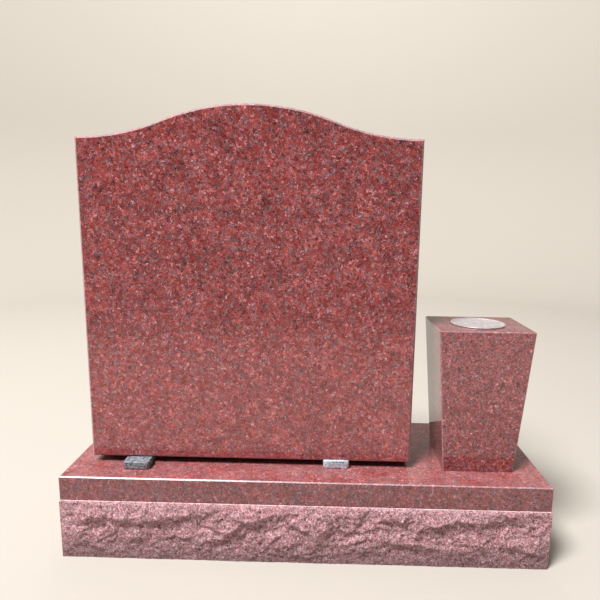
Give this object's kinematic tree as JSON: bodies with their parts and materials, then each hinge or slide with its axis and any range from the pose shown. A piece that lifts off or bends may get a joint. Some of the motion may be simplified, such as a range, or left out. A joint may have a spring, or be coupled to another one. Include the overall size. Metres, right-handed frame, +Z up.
{
  "type": "headstone",
  "caption": "Upright headstone of polished red granite with a serpentine top, on a rock-pitched base beside a square tapered flower vase",
  "frame": {"origin": "on the ground under the middle of the base", "axes": "+Z is up, +X runs along the base to the right as seen from the front, and the front faces -Y"},
  "size_m": [0.9458, 0.3408, 0.839],
  "materials": {
    "polished_granite": "polished",
    "pitched_granite": "rock-pitched, with a polished top and band",
    "packing": "matte",
    "lid_metal": "satin"
  },
  "bodies": {
    "root": {"base": "pitched_granite", "tablet": "polished_granite", "spacer_left": "packing", "spacer_right": "packing", "vase": "polished_granite", "vase_lid": "lid_metal"}
  },
  "joints": []
}
